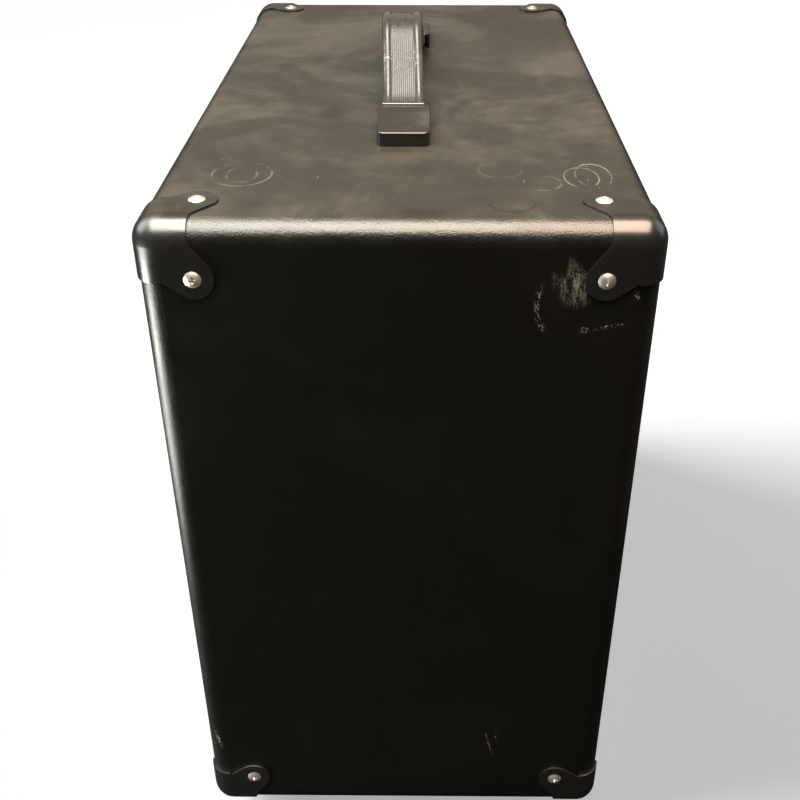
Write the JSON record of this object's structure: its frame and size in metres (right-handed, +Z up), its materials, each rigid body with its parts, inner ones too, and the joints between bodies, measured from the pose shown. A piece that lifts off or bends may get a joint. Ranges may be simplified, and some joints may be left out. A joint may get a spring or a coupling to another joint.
{
  "type": "guitar amplifier",
  "caption": "Combo guitar amplifier: finger-jointed cabinet in black vinyl with corner protectors, strap handle, grille, back panels, loudspeaker, turning knobs and a rocker switch.",
  "frame": {"origin": "on the floor, under the middle of the cabinet", "axes": "+X to the right seen from the front, +Y to the back, +Z up; the grille and the knobs face -Y"},
  "size_m": [0.5058, 0.2688, 0.4974],
  "materials": {
    "plywood": "raw birch plywood",
    "vinyl": "fine-grained black vinyl cloth",
    "corner_plastic": "satin black",
    "nickel_screw": "nickel plate",
    "foot_rubber": "matt black",
    "strap_vinyl": "ribbed, semi-gloss black",
    "spring_steel": "zinc plate",
    "handle_plastic": "satin black",
    "grille_cloth": "woven black",
    "basket_paint": "black enamel",
    "gasket_cork": "pressed cork paper",
    "paper_cone": "pressed paper pulp",
    "treated_cloth": "impregnated cloth",
    "voice_coil": "copper winding on a thin former",
    "ferrite": "ground ferrite",
    "terminal_board": "phenolic board",
    "panel_paint": "black anodised",
    "pot_metal": "bare metal",
    "knob_plastic": "black with a white pointer",
    "black_plastic": "black",
    "lamp_lens": "red lens",
    "capacitor_sleeve": "shrink sleeve"
  },
  "bodies": {
    "cabinet": {"top_board": "plywood", "bottom_board": "plywood", "left_side_board": "plywood", "right_side_board": "plywood", "vinyl_covering": "vinyl", "cleats": "plywood", "corner_protectors_front": "corner_plastic", "corner_protectors_rear": "corner_plastic", "corner_screws": "nickel_screw", "rubber_feet": "foot_rubber", "foot_screws": "nickel_screw", "handle_strap": "strap_vinyl", "handle_core": "spring_steel", "handle_cap_left": "handle_plastic", "handle_cap_right": "handle_plastic", "handle_screws": "nickel_screw", "speaker_baffle": "plywood", "grille_frame": "plywood", "grille_cloth": "grille_cloth", "upper_back_panel": "vinyl", "lower_back_panel": "vinyl", "back_panel_screws": "nickel_screw", "speaker_frame": "basket_paint", "speaker_gasket": "gasket_cork", "speaker_screws": "nickel_screw", "speaker_surround": "treated_cloth", "speaker_spider": "treated_cloth", "magnet_top_plate": "spring_steel", "magnet_ring": "ferrite", "pole_plate": "spring_steel", "speaker_terminals": "terminal_board", "chassis": "spring_steel", "chassis_bolts": "nickel_screw", "control_panel": "panel_paint", "pot_bodies": "pot_metal", "panel_nuts": "nickel_screw", "input_jack": "black_plastic", "switch_housing": "black_plastic", "pilot_lamp": "lamp_lens", "circuit_board": "terminal_board", "filter_capacitors": "capacitor_sleeve", "mains_transformer": "spring_steel", "heat_sink": "pot_metal", "power_transistors": "black_plastic", "mains_inlet": "black_plastic", "speaker_cable": "black_plastic"},
    "control_1": {"knob_1": "knob_plastic", "pot_shaft_1": "pot_metal"},
    "control_2": {"knob_2": "knob_plastic", "pot_shaft_2": "pot_metal"},
    "control_3": {"knob_3": "knob_plastic", "pot_shaft_3": "pot_metal"},
    "control_4": {"knob_4": "knob_plastic", "pot_shaft_4": "pot_metal"},
    "control_5": {"knob_5": "knob_plastic", "pot_shaft_5": "pot_metal"},
    "rocker": {"power_rocker": "black_plastic"},
    "moving_cone": {"speaker_cone": "paper_cone", "dust_cap": "paper_cone", "voice_coil": "voice_coil"}
  },
  "joints": [
    {"name": "knob_1_turn", "type": "hinge", "parent": "cabinet", "child": "control_1", "pos_m": [-0.12, -0.12, 0.4015], "axis": [0, -1, 0], "range_deg": [-150, 150]},
    {"name": "knob_2_turn", "type": "hinge", "parent": "cabinet", "child": "control_2", "pos_m": [-0.07, -0.12, 0.4015], "axis": [0, -1, 0], "range_deg": [-150, 150]},
    {"name": "knob_3_turn", "type": "hinge", "parent": "cabinet", "child": "control_3", "pos_m": [-0.02, -0.12, 0.4015], "axis": [0, -1, 0], "range_deg": [-150, 150]},
    {"name": "knob_4_turn", "type": "hinge", "parent": "cabinet", "child": "control_4", "pos_m": [0.03, -0.12, 0.4015], "axis": [0, -1, 0], "range_deg": [-150, 150]},
    {"name": "knob_5_turn", "type": "hinge", "parent": "cabinet", "child": "control_5", "pos_m": [0.08, -0.12, 0.4015], "axis": [0, -1, 0], "range_deg": [-150, 150]},
    {"name": "power_rocker_tip", "type": "hinge", "parent": "cabinet", "child": "rocker", "pos_m": [0.172, -0.114, 0.4015], "axis": [-1, 0, 0], "range_deg": [0, 18]},
    {"name": "cone_travel", "type": "slide", "parent": "cabinet", "child": "moving_cone", "axis": [0, -1, 0], "range_m": [-0.003, 0.003], "stiffness_N_per_m": 2000}
  ]
}
